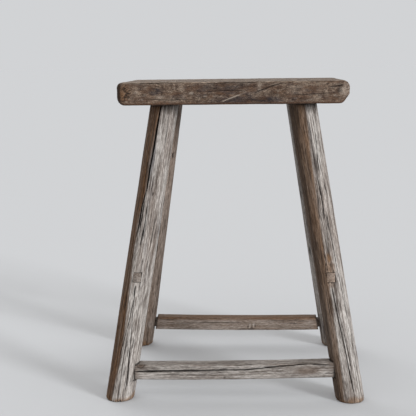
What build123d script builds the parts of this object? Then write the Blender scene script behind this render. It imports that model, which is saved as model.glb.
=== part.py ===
from build123d import *
import os
from math import atan, cos, sqrt

# A rustic splayed-leg wooden stool: a thick plank seat, four round legs that are
# tenoned through the seat and wedged, one long low stretcher in front and one
# behind, and two short stretchers, one above the other, at each end.
# Millimetres, +Z up, origin on the floor under the middle of the seat,
# front towards -Y and the viewer's right towards +X.

os.makedirs("parts", exist_ok=True)

# Seat plank
stool_height = 500.0
seat_length = 364.0
seat_depth = 200.0
seat_thickness = 36.0
seat_corner_radius = 15.0
seat_top_easing = 4.0
left_end_top_round = 10.0
left_end_bottom_round = 14.0
right_end_top_round = 12.0
right_end_cut_length = 12.0
right_end_cut_height = 15.0

# Legs, as places of the leg's axis at the seat's underside and on the floor
leg_top_half_spread = 110.5
leg_top_half_depth = 46.5
foot_half_spread = 183.5
foot_half_depth = 136.0
leg_diameter = 45.0
shoulder_easing = 2.0
foot_easing = 3.0

# Wedged tenon at the head of each leg
leg_tenon_width = 24.0
leg_tenon_depth = 28.0
tenon_below_seat_top = 0.3
wedge_length = 24.0
wedge_head_thickness = 4.0
wedge_tip_thickness = 1.5
kerf_below_wedge = 4.0

# Long stretchers, front and back; the front one climbs a little to the right
front_stretcher_left_centre = 42.8
front_stretcher_right_centre = 48.4
front_stretcher_depth = 25.0
back_stretcher_centre = 45.2
back_stretcher_depth = 22.0
back_shoulder_gap = 2.8
long_stretcher_height = 24.5
long_stretcher_sag = 1.5
long_tenon_height = 15.0
long_tenon_depth = 12.0

# Short stretchers at the two ends, the lower with through tenons, the upper with blind ones
lower_stretcher_centre = 194.0
upper_stretcher_centre = 303.0
side_stretcher_height = 25.0
side_stretcher_width = 20.0
side_stretcher_sag = 0.8
side_tenon_height = 14.0
side_tenon_width = 12.5
blind_tenon_past_axis = 7.0

# Easing of the stretchers' long edges, and the fits shared by every joint
stretcher_easing = 2.4
fit_clearance = 0.15
shoulder_clearance = 0.2
overrun = 8.0

# Lines that the driving dimensions settle
underside = stool_height - seat_thickness
tenon_top = stool_height - tenon_below_seat_top
leg_radius = leg_diameter / 2
spread_slope = (foot_half_spread - leg_top_half_spread) / underside
depth_slope = (foot_half_depth - leg_top_half_depth) / underside
spread_cosine = cos(atan(spread_slope))
depth_cosine = cos(atan(depth_slope))

SIDES = (("left", -1), ("right", 1))
FACES = (("front", -1), ("back", 1))

# Height of a long stretcher's middle line at its two legs, by face and side
long_centres = {
    (-1, -1): front_stretcher_left_centre,
    (-1, 1): front_stretcher_right_centre,
    (1, -1): back_stretcher_centre,
    (1, 1): back_stretcher_centre,
}


def leg_x(height):
    """Distance of a leg's axis from the middle plane, across the stool."""
    return foot_half_spread - spread_slope * height


def leg_y(height):
    """Distance of a leg's axis from the middle plane, front to back."""
    return foot_half_depth - depth_slope * height


def long_line_y(face):
    """Place, front to back, of the middle line of the long stretcher on that face."""
    return face * leg_y((long_centres[face, -1] + long_centres[face, 1]) / 2)


def leg_point(side, face, height):
    """Point on a leg's axis."""
    return Vector(side * leg_x(height), face * leg_y(height), height)


def leg_direction(side, face):
    """Unit vector up a leg's axis."""
    return (leg_point(side, face, underside) - leg_point(side, face, 0)).normalized()


def tenon_section(side, face, height, clearance):
    """Level section of a leg's tenon, or of its mortise when there is a clearance."""
    with BuildSketch(Plane.XY.offset(height)) as section:
        with Locations((side * leg_x(height), face * leg_y(height))):
            Rectangle(leg_tenon_width + 2 * clearance, leg_tenon_depth + 2 * clearance)
    return section.sketch


def wedge_thickness(height):
    """Thickness of a wedge along the seat, thinning downwards at one rate."""
    taper = (wedge_head_thickness - wedge_tip_thickness) / wedge_length
    return wedge_head_thickness - taper * (tenon_top - height)


def wedge_profile(side, face, tip_height, clearance):
    """Front elevation of a wedge, or of its kerf when there is a clearance."""
    elevation = Plane(origin=(0, face * leg_y(tenon_top), 0), x_dir=(1, 0, 0), z_dir=(0, -1, 0))
    head = wedge_thickness(tenon_top) / 2 + clearance
    tip = wedge_thickness(tip_height) / 2 + clearance
    head_middle = side * leg_x(tenon_top)
    tip_middle = side * leg_x(tip_height)
    with BuildSketch(elevation) as profile:
        with BuildLine():
            Polyline(
                (head_middle - head, tenon_top),
                (head_middle + head, tenon_top),
                (tip_middle + tip, tip_height),
                (tip_middle - tip, tip_height),
                close=True,
            )
        make_face()
    return profile.sketch


def front_shoulder(height):
    """Half length of the front stretcher between its shoulders, which follow the legs' slope."""
    return leg_x(height) - leg_radius / spread_cosine - shoulder_clearance


def back_shoulder(height):
    """Half length of the back stretcher between its shoulders, which stand a little open."""
    return leg_x(height) - leg_radius / spread_cosine - back_shoulder_gap


def long_tenon_end(height):
    """Half the length over the tenons, pared flush with the outside of the legs."""
    return leg_x(height) + sqrt(leg_radius**2 - (long_tenon_depth / 2) ** 2) / spread_cosine


def side_shoulder(height):
    """Half length of a short stretcher between its shoulders, which follow the legs' slope."""
    return leg_y(height) - leg_radius / depth_cosine - shoulder_clearance


def through_tenon_end(height):
    """Half the length over the lower short stretcher's tenons, flush with the legs' faces."""
    return leg_y(height) + sqrt(leg_radius**2 - (side_tenon_width / 2) ** 2) / depth_cosine


def blind_tenon_end(height):
    """Half the length over the upper short stretcher's hidden tenons."""
    return leg_y(height) + blind_tenon_past_axis


def make_stretcher(plane, centres, body, tenon, sag, shoulder, tenon_end):
    """Rail drawn in elevation on its own plane.

    centres are the heights of its middle line at its two ends; body and tenon are
    (height, thickness).
    """
    half_height = body[0] / 2
    half_tenon = tenon[0] / 2
    left, right = centres
    middle = (left + right) / 2
    far = shoulder(min(centres) - half_height) + overrun
    low = min(centres) - half_height - overrun
    high = max(centres) + half_height + overrun
    climb = Vector(0, 0, (right - left) / (2 * shoulder(middle)))
    middle_line = Plane(
        origin=plane.origin + Vector(0, 0, middle), x_dir=plane.x_dir + climb, z_dir=plane.z_dir
    )
    with BuildPart() as stretcher:
        with BuildSketch(middle_line):
            with BuildLine():
                ThreePointArc((-far, -half_height), (0, -half_height - sag), (far, -half_height))
                Line((far, -half_height), (far, half_height))
                ThreePointArc((far, half_height), (0, half_height - sag), (-far, half_height))
                Line((-far, half_height), (-far, -half_height))
            make_face()
        extrude(amount=body[1] / 2, both=True)
        chamfer(stretcher.edges().filter_by(GeomType.CIRCLE), stretcher_easing)
        with BuildSketch(plane):
            with BuildLine():
                Polyline(
                    (-shoulder(low), low),
                    (shoulder(low), low),
                    (shoulder(high), high),
                    (-shoulder(high), high),
                    close=True,
                )
            make_face()
        extrude(amount=body[1], both=True, mode=Mode.INTERSECT)
        for end, centre in ((-1, left), (1, right)):
            root = end * (shoulder(centre) - leg_diameter)
            with BuildSketch(plane):
                with BuildLine():
                    Polyline(
                        (root, centre - half_tenon),
                        (end * tenon_end(centre - half_tenon), centre - half_tenon),
                        (end * tenon_end(centre + half_tenon), centre + half_tenon),
                        (root, centre + half_tenon),
                        close=True,
                    )
                make_face()
            extrude(amount=tenon[1] / 2, both=True)
    return stretcher.part


def save(part, name):
    """Names a finished piece and writes its own file."""
    part.label = name
    export_step(part, f"parts/{name}.step")


# Seat: its end view, its front view and its rounded plan crossed, then four slanting mortises
with BuildPart() as seat:
    left_end = -seat_length / 2
    right_end = seat_length / 2
    with BuildSketch(Plane.YZ) as end_view:
        with Locations((0, underside + seat_thickness / 2)):
            Rectangle(seat_depth, seat_thickness)
        fillet(end_view.vertices().sort_by(Axis.Y)[-2:], seat_top_easing)
    extrude(amount=seat_length / 2, both=True)
    with BuildSketch(Plane.XZ):
        with BuildLine():
            RadiusArc(
                (left_end + left_end_bottom_round, underside),
                (left_end, underside + left_end_bottom_round),
                left_end_bottom_round,
            )
            Line((left_end, underside + left_end_bottom_round), (left_end, stool_height - left_end_top_round))
            RadiusArc(
                (left_end, stool_height - left_end_top_round),
                (left_end + left_end_top_round, stool_height),
                left_end_top_round,
            )
            Line((left_end + left_end_top_round, stool_height), (right_end - right_end_top_round, stool_height))
            RadiusArc(
                (right_end - right_end_top_round, stool_height),
                (right_end, stool_height - right_end_top_round),
                right_end_top_round,
            )
            Line((right_end, stool_height - right_end_top_round), (right_end, underside + right_end_cut_height))
            Line(
                (right_end, underside + right_end_cut_height),
                (right_end - right_end_cut_length, underside),
            )
            Line(
                (right_end - right_end_cut_length, underside),
                (left_end + left_end_bottom_round, underside),
            )
        make_face()
    extrude(amount=seat_depth, both=True, mode=Mode.INTERSECT)
    with BuildSketch(Plane.XY.offset(underside)):
        RectangleRounded(seat_length, seat_depth, seat_corner_radius)
    extrude(amount=seat_thickness, mode=Mode.INTERSECT)
    for side_name, side in SIDES:
        for face_name, face in FACES:
            direction = leg_direction(side, face)
            mortise = tenon_section(side, face, underside - overrun, fit_clearance)
            length = (seat_thickness + 2 * overrun) / direction.Z
            extrude(mortise, amount=length, dir=direction, mode=Mode.SUBTRACT)
save(seat.part, "seat")

# Legs: a round pole on the splayed axis, cut level at floor and seat, with its wedged
# tenon above the shoulder and the mortises of the three stretchers that it carries
for side_name, side in SIDES:
    for face_name, face in FACES:
        direction = leg_direction(side, face)
        tenon = tenon_section(side, face, underside - overrun, 0)
        tenon_length = (tenon_top - underside + overrun) / direction.Z
        kerf_tip = tenon_top - wedge_length - kerf_below_wedge
        with BuildPart() as leg:
            with BuildSketch(Plane(leg_point(side, face, -overrun), z_dir=direction)):
                Circle(leg_radius)
            extrude(amount=(underside + 2 * overrun) / direction.Z)
            split(bisect_by=Plane.XY, keep=Keep.TOP)
            split(bisect_by=Plane.XY.offset(underside), keep=Keep.BOTTOM)
            chamfer(leg.faces().sort_by(Axis.Z)[-1].edges(), shoulder_easing)
            chamfer(leg.faces().sort_by(Axis.Z)[0].edges(), foot_easing)
            extrude(tenon, amount=tenon_length, dir=direction)
            kerf = wedge_profile(side, face, kerf_tip, fit_clearance)
            extrude(kerf, amount=leg_tenon_depth, both=True, mode=Mode.SUBTRACT)
            centre = long_centres[face, side]
            with BuildSketch(Plane.YZ):
                with Locations((long_line_y(face), centre)):
                    Rectangle(
                        long_tenon_depth + 2 * fit_clearance,
                        long_tenon_height + 2 * fit_clearance,
                    )
            extrude(amount=side * (foot_half_spread + leg_diameter), mode=Mode.SUBTRACT)
            side_mortises = (
                (lower_stretcher_centre, foot_half_depth + leg_diameter),
                (
                    upper_stretcher_centre,
                    blind_tenon_end(upper_stretcher_centre - side_tenon_height) + fit_clearance,
                ),
            )
            for centre, mortise_reach in side_mortises:
                with BuildSketch(Plane.XZ):
                    with Locations((side * leg_x(centre), centre)):
                        Rectangle(
                            side_tenon_width + 2 * fit_clearance,
                            side_tenon_height + 2 * fit_clearance,
                        )
                extrude(amount=-face * mortise_reach, mode=Mode.SUBTRACT)
        save(leg.part, f"{face_name}_{side_name}_leg")

        with BuildPart() as wedge:
            extrude(
                wedge_profile(side, face, tenon_top - wedge_length, 0),
                amount=leg_tenon_depth,
                both=True,
            )
            extrude(tenon, amount=tenon_length, dir=direction, mode=Mode.INTERSECT)
        save(wedge.part, f"{face_name}_{side_name}_wedge")

# Long stretchers, one low at the front and one low at the back
for face_name, face, depth, shoulder in (
    ("front", -1, front_stretcher_depth, front_shoulder),
    ("back", 1, back_stretcher_depth, back_shoulder),
):
    centres = (long_centres[face, -1], long_centres[face, 1])
    rail_plane = Plane(origin=(0, long_line_y(face), 0), x_dir=(1, 0, 0), z_dir=(0, -1, 0))
    rail = make_stretcher(
        rail_plane,
        centres,
        (long_stretcher_height, depth),
        (long_tenon_height, long_tenon_depth),
        long_stretcher_sag,
        shoulder,
        long_tenon_end,
    )
    save(rail, f"{face_name}_stretcher")

# Short stretchers, two at each end
for side_name, side in SIDES:
    for level_name, centre, tenon_end in (
        ("lower", lower_stretcher_centre, through_tenon_end),
        ("upper", upper_stretcher_centre, blind_tenon_end),
    ):
        rail_plane = Plane(origin=(side * leg_x(centre), 0, 0), x_dir=(0, 1, 0), z_dir=(1, 0, 0))
        rail = make_stretcher(
            rail_plane,
            (centre, centre),
            (side_stretcher_height, side_stretcher_width),
            (side_tenon_height, side_tenon_width),
            side_stretcher_sag,
            side_shoulder,
            tenon_end,
        )
        save(rail, f"{side_name}_{level_name}_stretcher")
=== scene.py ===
"""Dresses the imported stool: weathered, cracked and worn wood in place of its plain solids."""

from math import cos, pi, radians, sin, sqrt
from types import SimpleNamespace

import bpy
import numpy as np
from mathutils import Matrix, Vector


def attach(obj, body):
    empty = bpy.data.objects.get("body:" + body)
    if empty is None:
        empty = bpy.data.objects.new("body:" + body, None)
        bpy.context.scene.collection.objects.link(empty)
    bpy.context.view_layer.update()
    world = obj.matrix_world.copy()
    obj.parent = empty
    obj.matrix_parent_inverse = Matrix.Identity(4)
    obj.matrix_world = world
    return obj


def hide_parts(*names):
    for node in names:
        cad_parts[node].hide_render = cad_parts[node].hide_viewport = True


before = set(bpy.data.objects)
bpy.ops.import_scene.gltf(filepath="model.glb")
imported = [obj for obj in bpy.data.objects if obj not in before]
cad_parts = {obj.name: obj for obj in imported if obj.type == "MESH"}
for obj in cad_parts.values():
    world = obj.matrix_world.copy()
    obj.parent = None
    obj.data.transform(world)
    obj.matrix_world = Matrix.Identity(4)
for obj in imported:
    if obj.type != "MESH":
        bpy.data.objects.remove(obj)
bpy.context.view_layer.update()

MM = 0.001

# Camera of the photograph: place in millimetres, turns in radians, focal length in pixels
CAMERA_PLACE = np.array((27.9, -1450.4, 533.1))
CAMERA_YAW = radians(-2.88)
CAMERA_PITCH = radians(9.70)
CAMERA_ROLL = radians(0.72)
FOCAL_PIXELS = 867.0
FRAME_PIXELS = 416.0
SENSOR_WIDTH = 36.0

# Sides are -1 for left and 1 for right; faces are -1 for front and 1 for back
SIDES = {-1: "left", 1: "right"}
FACES = {-1: "front", 1: "back"}

# The stool's own sizes, in millimetres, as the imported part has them
TOP = 500.0
UNDERSIDE = 464.0
SEAT_HALF_LENGTH = 182.0
SEAT_HALF_DEPTH = 100.0
CORNER_RADIUS = 15.0
TOP_EASING = 4.0
LEFT_TOP_ROUND = 10.0
LEFT_LOW_ROUND = 14.0
RIGHT_TOP_ROUND = 12.0
RIGHT_CUT_LENGTH = 12.0
RIGHT_CUT_HEIGHT = 15.0
LEG_TOP = np.array((110.5, 46.5))
LEG_FOOT = np.array((183.5, 136.0))
LEG_RADIUS = 22.5
TENON_WIDTH = 24.0
TENON_DEPTH = 28.0
TENON_TOP = TOP - 0.3
WEDGE_LENGTH = 24.0
WEDGE_HEAD = 4.0
WEDGE_TIP = 1.5
JOINT_GAP = 0.15

# Rails. axis: 0 across the stool, 1 from front to back. centres: heights of the middle at its two ends.
# gap: room between shoulder and leg, none where the shoulder is scribed to the leg. reach: how far a
# hidden tenon goes past the leg's axis, none where it goes through. grid: points round it, rings along it
LONG = dict(axis=0, height=24.5, sag=1.5, tenon=(15.0, 12.0), reach=None, grid=(132, 190))
SHORT = dict(axis=1, height=25.0, depth=20.0, sag=0.8, tenon=(14.0, 12.5), gap=None, grid=(112, 130))
LONG_RAILS = {
    -1: SimpleNamespace(centres=(42.8, 48.4), depth=25.0, gap=None, **LONG),
    1: SimpleNamespace(centres=(45.2, 45.2), depth=22.0, gap=2.8, **LONG),
}
LOWER_RAIL = SimpleNamespace(centres=(194.0, 194.0), reach=None, **SHORT)
UPPER_RAIL = SimpleNamespace(centres=(303.0, 303.0), reach=7.0, **SHORT)

# Finish that only this script gives, and fineness of the meshes
RIGHT_CUT_EASING = 1.5
RAIL_EASING = 3.0
LET_IN = 1.2
LEAST_RADIUS = 12.0
SHARP_ANGLE = radians(38.0)
LEG_COLUMNS = 256

LEG_SLOPE = (LEG_FOOT - LEG_TOP) / UNDERSIDE
TURN = 2 * pi * LEG_RADIUS


def srgb(*values):
    """Linear colour from the 0 to 255 values that a screen shows."""
    shares = [value / 255.0 for value in values]
    linear = [s / 12.92 if s <= 0.04045 else ((s + 0.055) / 1.055) ** 2.4 for s in shares]
    return (*linear, 1.0)


def add_object(name, data):
    """An object in the scene for a mesh, a camera or a light."""
    thing = bpy.data.objects.new(name, data)
    bpy.context.scene.collection.objects.link(thing)
    return thing


# Camera


def camera_axes():
    """Unit vectors forwards, to the right and downwards in the picture."""
    forward = np.array((
        sin(CAMERA_YAW) * cos(CAMERA_PITCH),
        cos(CAMERA_YAW) * cos(CAMERA_PITCH),
        -sin(CAMERA_PITCH),
    ))
    level = np.array((cos(CAMERA_YAW), -sin(CAMERA_YAW), 0.0))
    down = np.cross(forward, level)
    right = level * cos(CAMERA_ROLL) + down * sin(CAMERA_ROLL)
    return forward, right, down * cos(CAMERA_ROLL) - level * sin(CAMERA_ROLL)


FORWARD, RIGHT, LOWER = camera_axes()


def pixel_ray(pixel):
    """Direction from the camera through a pixel of the photograph."""
    across, down = (value - FRAME_PIXELS / 2 for value in pixel)
    ray = FORWARD * FOCAL_PIXELS + RIGHT * across + LOWER * down
    return ray / np.linalg.norm(ray)


def pixel_on_plane(pixel, y):
    """Point (x, z) where a pixel's ray meets an upright plane that faces the front."""
    ray = pixel_ray(pixel)
    point = CAMERA_PLACE + ray * (y - CAMERA_PLACE[1]) / ray[1]
    return float(point[0]), float(point[2])


def make_camera():
    data = bpy.data.cameras.new("camera")
    data.sensor_width = SENSOR_WIDTH
    data.sensor_fit = "HORIZONTAL"
    data.lens = FOCAL_PIXELS / FRAME_PIXELS * SENSOR_WIDTH
    data.clip_start = 0.05
    data.clip_end = 200.0
    camera = add_object("camera", data)
    turn = Matrix((RIGHT, -LOWER, -FORWARD)).transposed().to_4x4()
    camera.matrix_world = Matrix.Translation(Vector(CAMERA_PLACE * MM)) @ turn
    bpy.context.scene.camera = camera


# Noise and marks on a surface; all lengths are millimetres


def lattice(ix, iy, iz, seed):
    """Repeatable random value from 0 to 1 at whole-number places."""
    mix = ix * 374761393 + iy * 668265263 + iz * 1274126177 + seed * 1103515245
    mix = mix & 0xFFFFFFFF
    mix = ((mix ^ (mix >> 13)) * 1274126177) & 0xFFFFFFFF
    mix = ((mix ^ (mix >> 15)) * 2246822519) & 0xFFFFFFFF
    return (mix ^ (mix >> 16)) / 0xFFFFFFFF


def noise(x, y, z, seed):
    """Smooth value noise from -1 to 1 with one wave per unit."""
    x, y, z = np.broadcast_arrays(*(np.asarray(c, dtype=float) for c in (x, y, z)))
    fx, fy, fz = np.floor(x), np.floor(y), np.floor(z)
    ix, iy, iz = (c.astype(np.int64) for c in (fx, fy, fz))
    ux, uy, uz = ((c * c * (3 - 2 * c)) for c in (x - fx, y - fy, z - fz))
    total = 0.0
    for dx in (0, 1):
        for dy in (0, 1):
            for dz in (0, 1):
                weight = (ux if dx else 1 - ux) * (uy if dy else 1 - uy) * (uz if dz else 1 - uz)
                total = total + weight * lattice(ix + dx, iy + dy, iz + dz, seed)
    return 2 * total - 1


def rough(x, y, z, seed, octaves=3):
    """Noise with finer and finer waves added, from about -1 to 1."""
    total = 0.0
    for octave in range(octaves):
        scale = 2.0**octave
        total = total + noise(x * scale, y * scale, z * scale, seed + 31 * octave) / scale
    return total / 1.6


def ramp(value, low, high):
    """Smooth step from 0 at low to 1 at high."""
    t = np.clip((value - low) / (high - low), 0, 1)
    return t * t * (3 - 2 * t)


def hump(value, width):
    """Smooth bump that is 1 at 0 and fades over a width."""
    return np.exp(-((value / width) ** 2))


class Marks:
    """What is on a surface: how far it sinks in, and how much of each stain it has; crack and brown also
    carry painted shade, and pale a painted highlight, in places.

    along and across are each point's places with and against the grain; turn is the
    distance round a surface that closes on itself.
    """

    STAINS = ("crack", "brown", "rust", "pale", "blue")

    def __init__(self, along, across, turn=None):
        self.along, self.across, self.turn = along, across, turn
        self.sink = np.zeros_like(along)
        self.stains = {stain: np.zeros_like(along) for stain in self.STAINS}

    def away(self, across, where):
        """Distance across the grain, the short way round where the surface closes."""
        gap = self.across[where] - across
        if self.turn:
            gap = (gap + self.turn / 2) % self.turn - self.turn / 2
        return gap

    def deepen(self, stain, amount, where=slice(None)):
        """Raises a stain to at least an amount."""
        values = self.stains[stain]
        values[where] = np.maximum(values[where], amount)

    def fade(self, share, *stains):
        """Leaves only a share of some stains."""
        for stain in stains:
            self.stains[stain] *= share

    def split(self, path, width, depth, seed, rim=0.25, dark=1.0, mask=None):
        """A drying crack along the grain, through points (along, across)."""
        starts, places = np.array(sorted(path)).T
        where = np.flatnonzero((self.along > starts[0]) & (self.along < starts[-1]))
        gap = self.away(np.interp(self.along[where], starts, places), where)
        close = np.abs(gap) < 5 * width + 3
        where, gap = where[close], gap[close]
        along = self.along[where]
        gap = gap + 0.40 * noise(along / 7.0, 0.5, 0.5, seed)
        gap = np.abs(gap + 0.20 * noise(along / 2.5, 0.5, 0.5, seed + 1))
        length = max(starts[-1] - starts[0], 1.0)
        ends = np.minimum(along - starts[0], starts[-1] - along)
        taper = ramp(ends, 0.0, min(0.3 * length, 14.0))
        if mask is not None:
            taper = taper * mask[where]
        swell = 0.75 + 0.35 * noise(along / 11.0, 1.5, 0.5, seed + 2)
        half = np.maximum(width * taper * swell, 0.05)
        groove = hump(gap, half) * taper
        self.sink[where] += depth * groove
        self.deepen("crack", dark * np.clip(1.35 * groove, 0, 1), where)
        lip = hump(gap - 2.0 * half - 0.4, 0.7 * half + 0.4) * taper
        self.deepen("pale", rim * lip, where)

    def patch(self, stain, place, radii, amount, seed, sink=0.0, soft=0.5, mask=None):
        """An uneven spot of a stain at (along, across), its radii along and across the grain."""
        where = np.flatnonzero(np.abs(self.along - place[0]) < 2.2 * max(radii))
        along, across = self.along[where] - place[0], self.away(place[1], where)
        grain = 0.6 * min(radii)
        waves = noise(along / grain, across / grain, 0.5, seed)
        waves = waves + 0.6 * noise(along / 2.5, across / 1.4, 0.5, seed)
        far = np.hypot(along / radii[0], across / radii[1]) + 0.20 * waves
        weight = 1 - ramp(far, 1 - soft, 1 + soft)
        if mask is not None:
            weight = weight * mask[where]
        self.deepen(stain, amount * weight, where)
        self.sink[where] += sink * weight

    def band(self, stain, edge, reach, amount, seed, soft=2.2):
        """A stain beside a line through points (along, across), as far as reach round the surface."""
        starts, places = np.array(sorted(edge)).T
        far = (np.interp(self.along, starts, places) - self.across) % self.turn
        far = np.where(far > self.turn - 6, far - self.turn, far)
        far = far + 1.2 * noise(self.along / 16.0, self.across / 3.0, 0.5, seed)
        weight = ramp(far, -soft, soft) * (1 - ramp(far, reach - 8, reach + 8))
        self.deepen(stain, amount * weight)
        return weight

    def checks(self, count, span, lengths, widths, seed, slope=0.0, dark=0.9, mask=None):
        """Many short cracks at seeded places within span (low, high, from, to)."""
        draw = np.random.default_rng(seed)
        for number in range(count):
            start = draw.uniform(*span[:2])
            place = draw.uniform(*span[2:])
            length = draw.uniform(*lengths) * draw.uniform(0.4, 1.0)
            width = draw.uniform(*widths)
            stop = min(start + length, span[1])
            path = [(start, place), (stop, place + slope * (stop - start))]
            shade = dark * draw.uniform(0.6, 1)
            self.split(path, width, 1.4 * width, seed + number, 0.2, shade, mask)

    def draw(self, at, cracks=(), patches=(), rim=0.2, dark=1.0, mask=None):
        """Marks from tables of pixels, which at turns into places on the surface.

        cracks are (width, depth, seed, pixel, pixel, ...)
        patches are (stain, pixel, radii, amount, seed, sink)
        """
        for width, depth, seed, *pixels in cracks:
            self.split([at(*pixel) for pixel in pixels], width, depth, seed, rim, dark, mask)
        for stain, pixel, radii, amount, seed, sink in patches:
            self.patch(stain, at(*pixel), radii, amount, seed, sink, mask=mask)

    def lay_over(self, other):
        """Adds the marks that were drawn in other directions on the same points."""
        for stain in self.STAINS:
            self.deepen(stain, other.stains[stain])
        self.sink += other.sink

    def table(self):
        """The stains as columns."""
        return np.stack([self.stains[stain] for stain in self.STAINS], axis=1)


def stain_table(count, **amounts):
    """Stains as columns, each the same at every point or given point by point."""
    table = np.zeros((count, len(Marks.STAINS)))
    for stain, amount in amounts.items():
        table[:, Marks.STAINS.index(stain)] = amount
    return table


# Meshes; a shell is (points, groups of faces, grain, stains)


def box_grid(counts):
    """Surface of a block of cells: places of its points, its outward quads by side, and its numbering."""
    index = np.full([count + 1 for count in counts], -1)
    outside = np.zeros(index.shape, dtype=bool)
    outside[[0, -1]] = outside[:, [0, -1]] = outside[:, :, [0, -1]] = True
    index[outside] = np.arange(outside.sum())

    def sheet(plane, flip):
        a, b, c, d = plane[:-1, :-1], plane[1:, :-1], plane[1:, 1:], plane[:-1, 1:]
        order = (a, d, c, b) if flip else (a, b, c, d)
        return np.stack([corner.ravel() for corner in order], axis=1)

    sides = {
        "left": sheet(index[0], True),
        "right": sheet(index[-1], False),
        "front": sheet(index[:, 0], False),
        "back": sheet(index[:, -1], True),
        "under": sheet(index[:, :, 0], True),
        "top": sheet(index[:, :, -1], False),
    }
    return np.argwhere(outside), sides, index


def unit_block(counts, flip=False):
    """A block's points as three rows of values from 0 to 1, and its quads."""
    places, sides, _ = box_grid(counts)
    quads = np.concatenate(list(sides.values()))
    return (places / np.array(counts)).T, quads[:, ::-1] if flip else quads


def vertex_normals(points, quads):
    """Average outward direction at each point."""
    corner = points[quads]
    facing = np.cross(corner[:, 2] - corner[:, 0], corner[:, 3] - corner[:, 1])
    total = np.zeros_like(points)
    for column in range(4):
        np.add.at(total, quads[:, column], facing)
    return total / np.maximum(np.linalg.norm(total, axis=1, keepdims=True), 1e-9)


def tube_shell(points, grain, stains, columns, shrink, end_stains, flip=False, hollow=None):
    """A tube of rings, each end closed by rings that shrink to its middle; hollow lifts the first end."""
    rows = len(points) // columns
    start = np.arange(rows - 1)[:, None] * columns
    here, after = start + np.arange(columns), start + (np.arange(columns) + 1) % columns
    quads = np.stack((here, after, after + columns, here + columns), axis=2).reshape(-1, 4)
    faces = [quads[:, ::-1] if flip else quads]
    for end, row in ((0, 0), (1, rows - 1)):
        earlier = row * columns + np.arange(columns)
        ring, ring_grain = points[earlier], grain[earlier]
        middle, middle_grain = ring.mean(axis=0), ring_grain.mean(axis=0)
        for part in shrink + (0.0,):
            numbers = len(points) + (np.arange(columns) if part else np.zeros(columns, dtype=np.int64))
            inner = middle + (ring - middle) * part
            inner_grain = middle_grain + (ring_grain - middle_grain) * part
            if not part:
                inner, inner_grain = inner[:1], inner_grain[:1]
            if hollow and end == 0:
                inner[:, 2] += hollow(inner)
            points, grain = np.concatenate((points, inner)), np.concatenate((grain, inner_grain))
            stains = np.concatenate((stains, stain_table(len(inner), **end_stains)))
            order = [earlier, np.roll(earlier, -1), np.roll(numbers, -1), numbers]
            if not part:
                del order[2]
            faces.append(np.stack(order if (end == 0) == flip else order[::-1], axis=1))
            earlier = numbers
    return points, faces, grain, stains


def make_piece(node, slot, shells, along_by_face=None):
    """One object from closed shells, riding on the stool's body.

    along_by_face stretches the figure along the grain, face by face, on a piece of quads.
    """
    faces = []
    start = 0
    for points, groups, _, _ in shells:
        for group in groups:
            faces.extend((group + start).tolist())
        start += len(points)
    points, grain, stains = (np.concatenate([shell[n] for shell in shells]) for n in (0, 2, 3))
    name = "worn_" + node
    mesh = bpy.data.meshes.new(name)
    mesh.from_pydata((points * MM).tolist(), [], faces)
    mesh.validate()
    mesh.polygons.foreach_set("use_smooth", np.ones(len(mesh.polygons), dtype=bool))
    mesh.set_sharp_from_angle(angle=SHARP_ANGLE)
    domain = "POINT"
    if along_by_face is not None:
        domain = "CORNER"
        grain = grain[np.array(faces).ravel()]
        grain[:, 2] *= np.repeat(along_by_face, 4)
    layer = mesh.attributes.new("grain", "FLOAT_VECTOR", domain)
    layer.data.foreach_set("vector", grain.astype(np.float32).ravel())
    for stain, column in zip(Marks.STAINS, np.clip(stains, 0, 1).T):
        layer = mesh.attributes.new(stain, "FLOAT", "POINT")
        layer.data.foreach_set("value", column.astype(np.float32))
    mesh.materials.append(WOODS[slot])
    piece = add_object(name, mesh)
    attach(piece, "root")
    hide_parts(node)


# Legs


def leg_axis(side, face, height):
    """Level place of a leg's axis."""
    reach = LEG_FOOT - LEG_SLOPE * np.asarray(height, dtype=float)[..., None]
    return side * reach[..., 0], face * reach[..., 1]


def leg_up(side, face):
    """Unit vector up a leg."""
    up = np.array((-side * LEG_SLOPE[0], -face * LEG_SLOPE[1], 1.0))
    return up / np.linalg.norm(up)


def gap_to_leg(side, face, axis, off, radius, outer=False):
    """Level distance from a leg's axis to its surface along one axis, at a distance off the other."""
    up = leg_up(side, face)
    own, other = up[axis], up[1 - axis]
    sign = (side, face)[axis] * (1 if outer else -1)
    a = 1 - own**2
    b = -2 * own * other * off
    c = (1 - other**2) * off**2 - radius**2
    root = np.sqrt(np.maximum(b * b - 4 * a * c, 0))
    return np.abs((-b + sign * root) / (2 * a))


def pixel_on_leg(side, face, pixel):
    """(height, distance round the leg) where a pixel's ray first meets it."""
    ray, up = pixel_ray(pixel), leg_up(side, face)
    start = CAMERA_PLACE - np.array((*leg_axis(side, face, 0.0), 0.0))
    ray_off, start_off = (line - up * line.dot(up) for line in (ray, start))
    a, b = ray_off.dot(ray_off), 2 * ray_off.dot(start_off)
    c = start_off.dot(start_off) - LEG_RADIUS**2
    point = CAMERA_PLACE + ray * (-b - sqrt(max(b * b - 4 * a * c, 0.0))) / (2 * a)
    axis = leg_axis(side, face, point[2])
    angle = np.arctan2(point[1] - axis[1], point[0] - axis[0])
    return float(point[2]), float(angle * LEG_RADIUS)


# A leg's rings, closer together at the foot, the joints and the shoulder: from, to, number
LEG_BANDS = (
    (0.0, 3.4, 7),
    (3.4, 29.0, 15),
    (29.0, 62.0, 29),
    (62.0, 182.0, 46),
    (182.0, 206.0, 24),
    (206.0, 289.0, 32),
    (289.0, 317.0, 19),
    (317.0, 455.0, 52),
    (455.0, UNDERSIDE, 9),
)
LEG_ROWS = [np.linspace(low, high, count, endpoint=False) for low, high, count in LEG_BANDS]
LEG_ROWS = np.concatenate(LEG_ROWS + [[UNDERSIDE]])

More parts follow.
